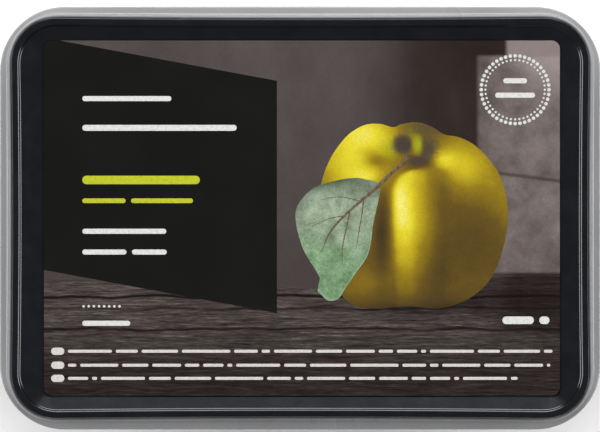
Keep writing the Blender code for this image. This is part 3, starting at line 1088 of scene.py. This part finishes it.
def label_sheet(name, corner, low, high):
    """A flat sheet of the lid label's size, left in edit mode."""
    piece = new_piece(name)
    half_x = (LABEL_HIGH.x - LABEL_LOW.x) / 2
    half_y = (LABEL_HIGH.y - LABEL_LOW.y) / 2
    moulding([(half_x, half_y, corner, low), (half_x, half_y, corner, high)])
    bpy.ops.mesh.select_all(action="SELECT")
    bpy.ops.transform.translate(value=((LABEL_HIGH.x + LABEL_LOW.x) / 2, (LABEL_HIGH.y + LABEL_LOW.y) / 2, 0))
    return piece


# --- Sizes and colours ----------------------------------------------------------------------------


def length_property(name, description, default):
    return bpy.props.FloatProperty(
        name=name, description=description, default=default, min=0.0, unit="LENGTH", precision=4
    )


def colour_property(name, description, default):
    return bpy.props.FloatVectorProperty(
        name=name, description=description, default=default, min=0.0, max=1.0, size=3, subtype="COLOR"
    )


class JellyTubSizes(bpy.types.PropertyGroup):
    """The sizes that shape the mouldings inside the CAD model's outlines"""

    tub_wall: length_property("Tub wall", "Thickness of the tub's wall", 0.9 * MM)
    lid_wall: length_property("Lid wall", "Thickness of the lid's skirt", 0.9 * MM)
    side_bow: length_property("Side bow", "How far the middle of each moulded side is drawn in", 0.5 * MM)
    ledge_corner: length_property("Ledge corner", "Corner radius of the tub's ledge", 15.3 * MM)
    lid_corner: length_property("Lid corner", "Corner radius of the lid's skirt", 11.0 * MM)
    body_corner: length_property("Body corner", "Corner radius of the tub's body", 10.5 * MM)
    foot_rounding: length_property("Foot rounding", "Radius of the fillet at the tub's foot", 2.4 * MM)
    outer_rounding: length_property("Bead rounding", "Radius of the lid's outer top edge", 0.1 * MM)
    step_foot: length_property("Step height", "Height of the step's foot inside the bead", 37.4 * MM)
    panel_length: length_property("Panel length", "Length of the flat of the lid's panel", 122.9 * MM)
    panel_width: length_property("Panel width", "Width of the flat of the lid's panel", 84.5 * MM)
    panel_corner: length_property("Panel corner", "Corner radius of the flat of the lid's panel", 2.5 * MM)
    label_corner: length_property("Label corner", "Corner radius of the labels", 1.9 * MM)


class JellyTubColours(bpy.types.PropertyGroup):
    """The colours of the plastics, the jelly and the inks"""

    # Painted shade: the tub colour goes on the ledge, darker than the plastic's own grey, to stand for the
    # shade under the ledge.
    tub: colour_property("Tub", "Milky uncoloured plastic", (0.275, 0.275, 0.28))
    lid: colour_property("Lid", "Black plastic", (0.0035, 0.004, 0.0055))
    jelly: colour_property("Jelly", "Set quince jelly", (0.46, 0.13, 0.008))
    white_ink: colour_property("White ink", "The pale marks on the label", ink(232, 230, 226))
    yellow_ink: colour_property("Yellow ink", "The marks in the fruit's colour", ink(198, 204, 52))
    dim_ink: colour_property("Grey ink", "The rows of fine print", ink(224, 219, 215))


# --- Operators ------------------------------------------------------------------------------------


class JELLYTUB_OT_tub(bpy.types.Operator):
    """Model the milky tub with its foot, ledge, collar and rim"""

    bl_idname = "jellytub.tub"
    bl_label = "Tub"

    def execute(self, context):
        sizes = context.scene.jelly_tub_sizes
        piece = new_piece("moulded_tub")
        moulding(tub_levels(sizes))
        close_piece(piece, tub_finish(context.scene.jelly_tub_colours))
        bow_sides(piece, sizes.side_bow, LID_HIGH.x, LID_HIGH.y, 1.15 * MM, COLLAR_TOP - 1 * MM)
        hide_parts("tub")
        return {"FINISHED"}


class JELLYTUB_OT_jelly(bpy.types.Operator):
    """Model the set jelly that fills the tub"""

    bl_idname = "jellytub.jelly"
    bl_label = "Jelly"

    def execute(self, context):
        piece = new_piece("set_jelly")
        moulding(jelly_levels(context.scene.jelly_tub_sizes))
        close_piece(piece, jelly_finish(context.scene.jelly_tub_colours))
        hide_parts("quince_jelly")
        return {"FINISHED"}


class JELLYTUB_OT_film(bpy.types.Operator):
    """Give the film sealed on the tub's rim its finish"""

    bl_idname = "jellytub.film"
    bl_label = "Sealing film"

    def execute(self, context):
        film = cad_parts["sealing_film"]
        film.data.materials.clear()
        film.data.materials.append(film_finish())
        return {"FINISHED"}


class JELLYTUB_OT_lid(bpy.types.Operator):
    """Model the black lid with its bead, step, slope and panel"""

    bl_idname = "jellytub.lid"
    bl_label = "Lid"

    def execute(self, context):
        sizes = context.scene.jelly_tub_sizes
        piece = new_piece("moulded_lid")
        moulding(lid_levels(sizes) + panel_levels(sizes))
        close_piece(piece, lid_finish(context.scene.jelly_tub_colours))
        bow_sides(piece, sizes.side_bow, LID_HIGH.x, LID_HIGH.y, 0.1 * MM, 0)
        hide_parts("lid")
        return {"FINISHED"}


class JELLYTUB_OT_label(bpy.types.Operator):
    """Model the lid's label with its printed wall, box and table, and the plain dark panel on it"""

    bl_idname = "jellytub.label"
    bl_label = "Lid label"

    def execute(self, context):
        corner = context.scene.jelly_tub_sizes.label_corner
        piece = label_sheet("lid_label_sheet", corner, LABEL_LOW.z, LABEL_HIGH.z)
        close_piece(piece, label_finish())
        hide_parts("lid_label")
        panel = label_sheet("label_panel", corner, LABEL_HIGH.z - INK, LABEL_HIGH.z + INK)
        for cut, normal in PANEL_CUTS:
            bpy.ops.mesh.select_all(action="SELECT")
            plane = {"plane_co": (cut[0] * MM, cut[1] * MM, 0), "plane_no": normal}
            bpy.ops.mesh.bisect(**plane, clear_outer=True, use_fill=True, threshold=BISECT_THRESHOLD)
        close_piece(panel, panel_finish())
        return {"FINISHED"}


class JELLYTUB_OT_fruit(bpy.types.Operator):
    """Model the printed quince with its leaf and stalk"""

    bl_idname = "jellytub.fruit"
    bl_label = "Printed quince"

    def execute(self, context):
        fruit = flat_print("printed_quince", FRUIT_MIDDLE, fruit_reach, 70, 280, INK, fruit_attributes)
        close_piece(fruit, fruit_finish())
        leaf = flat_print("printed_leaf", LEAF_MIDDLE, leaf_reach, 50, 240, 2 * INK, leaf_attributes)
        close_piece(leaf, leaf_finish())
        stalk = drawn_strips("printed_stalk", (STALK, MIDRIB, *SIDE_VEINS), 0.2)
        close_piece(stalk, stem_finish())
        return {"FINISHED"}


class JELLYTUB_OT_marks(bpy.types.Operator):
    """Model the label's plain marks: bars, ovals and dots that stand where words would be"""

    bl_idname = "jellytub.marks"
    bl_label = "Label marks"

    def execute(self, context):
        colours = context.scene.jelly_tub_colours
        white = new_piece("white_marks")
        add_rows(TITLE_ROWS + KIND_ROWS + FOOT_ROWS + SEAL_ROWS)
        for number in range(8):
            add_dot(DOTS[0] + DOTS[2] * number, DOTS[1], DOTS[3])
        add_seal()
        close_piece(white, mark_finish("white_ink", tuple(colours.white_ink)))
        yellow = new_piece("yellow_marks")
        add_rows(NAME_ROWS)
        close_piece(yellow, mark_finish("yellow_ink", tuple(colours.yellow_ink)))
        fine = new_piece("fine_marks")
        add_fine_rows()
        close_piece(fine, mark_finish("grey_ink", tuple(colours.dim_ink)))
        return {"FINISHED"}


class JELLYTUB_OT_base_label(bpy.types.Operator):
    """Give the bare label under the tub its paper"""

    bl_idname = "jellytub.base_label"
    bl_label = "Base label"

    def execute(self, context):
        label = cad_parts["base_label"]
        label.data.materials.clear()
        label.data.materials.append(paper_finish())
        return {"FINISHED"}


CAMERA_DISTANCE = 2.5  # metres above the ledge
VIEW_WIDTH = 141.9 * MM  # how much of the ledge's plane the view takes in
VIEW_CENTRE = (-0.05 * MM, 0.5 * MM)
FLOOR_SIZE = 12
ROOM_COLOUR = (0.92, 0.96, 1.0, 1.0)
ROOM_LIGHT = 0.16
SOFTBOXES = {
    # azimuth and rise in degrees, distance, width and height in metres, power in watts, and colour
    "left_softbox": (180, 40, 1.2, 0.6, 0.6, 9.2, (1.0, 1.0, 1.0)),
    "right_softbox": (0, 40, 1.2, 0.6, 0.6, 9.2, (1.0, 1.0, 1.0)),
    "back_softbox": (90, 34, 1.2, 0.9, 0.6, 14.5, (1.0, 1.0, 1.0)),
    "upper_softbox": (90, 60, 1.4, 0.9, 0.5, 0.8, (0.7, 0.86, 1.0)),
}


class JELLYTUB_OT_stage(bpy.types.Operator):
    """Set up the pale floor, the softboxes, the dim surroundings and the camera above the tub"""

    bl_idname = "jellytub.stage"
    bl_label = "Stage"

    def execute(self, context):
        scene = context.scene
        bpy.ops.object.select_all(action="DESELECT")
        bpy.ops.mesh.primitive_plane_add(size=FLOOR_SIZE)
        floor = context.object
        floor.name = "pale_floor"
        floor.data.materials.append(floor_finish())
        world = bpy.data.worlds.new("dim_room")
        world.use_nodes = True
        world.node_tree.nodes["Background"].inputs["Color"].default_value = ROOM_COLOUR
        world.node_tree.nodes["Background"].inputs["Strength"].default_value = ROOM_LIGHT
        scene.world = world
        for name, (azimuth, rise, distance, width, height, power, colour) in SOFTBOXES.items():
            light = bpy.data.lights.new(name, "AREA")
            light.shape = "RECTANGLE"
            light.size, light.size_y, light.energy, light.color = width, height, power, colour
            lamp = bpy.data.objects.new(name, light)
            turn, lift = math.radians(azimuth), math.radians(rise)
            aim = Vector((math.cos(turn) * math.cos(lift), math.sin(turn) * math.cos(lift), math.sin(lift)))
            lamp.location = aim * distance
            lamp.rotation_mode = "QUATERNION"
            lamp.rotation_quaternion = aim.to_track_quat("Z", "Y")
            lamp.visible_camera = False
            scene.collection.objects.link(lamp)
        lens = bpy.data.cameras.new("view_from_above")
        camera = bpy.data.objects.new("view_from_above", lens)
        lens.lens = lens.sensor_width * CAMERA_DISTANCE / VIEW_WIDTH
        lens.clip_end = 100
        camera.location = (*VIEW_CENTRE, LEDGE_TOP + CAMERA_DISTANCE)
        scene.collection.objects.link(camera)
        scene.camera = camera
        scene.view_settings.view_transform = "Standard"
        return {"FINISHED"}


class JELLYTUB_PT_panel(bpy.types.Panel):
    """The tub's sizes and colours, and the steps that model it"""

    bl_label = "Jelly tub"
    bl_idname = "JELLYTUB_PT_panel"
    bl_space_type = "VIEW_3D"
    bl_region_type = "UI"
    bl_category = "Jelly tub"

    def draw(self, context):
        for group in (context.scene.jelly_tub_sizes, context.scene.jelly_tub_colours):
            box = self.layout.box()
            for name in group.__annotations__:
                box.prop(group, name)
        for step in STEPS:
            self.layout.operator(step.bl_idname)


STEPS = (
    JELLYTUB_OT_tub,
    JELLYTUB_OT_jelly,
    JELLYTUB_OT_film,
    JELLYTUB_OT_lid,
    JELLYTUB_OT_label,
    JELLYTUB_OT_fruit,
    JELLYTUB_OT_marks,
    JELLYTUB_OT_base_label,
    JELLYTUB_OT_stage,
)
CLASSES = (JellyTubSizes, JellyTubColours, *STEPS, JELLYTUB_PT_panel)


def register():
    for cls in CLASSES:
        bpy.utils.register_class(cls)
    bpy.types.Scene.jelly_tub_sizes = bpy.props.PointerProperty(type=JellyTubSizes)
    bpy.types.Scene.jelly_tub_colours = bpy.props.PointerProperty(type=JellyTubColours)


def unregister():
    del bpy.types.Scene.jelly_tub_colours
    del bpy.types.Scene.jelly_tub_sizes
    for cls in reversed(CLASSES):
        bpy.utils.unregister_class(cls)


def main():
    register()
    make_shared_groups()
    bpy.ops.jellytub.tub()
    bpy.ops.jellytub.jelly()
    bpy.ops.jellytub.film()
    bpy.ops.jellytub.lid()
    bpy.ops.jellytub.label()
    bpy.ops.jellytub.fruit()
    bpy.ops.jellytub.marks()
    bpy.ops.jellytub.base_label()
    bpy.ops.jellytub.stage()


if __name__ == "__main__":
    main()
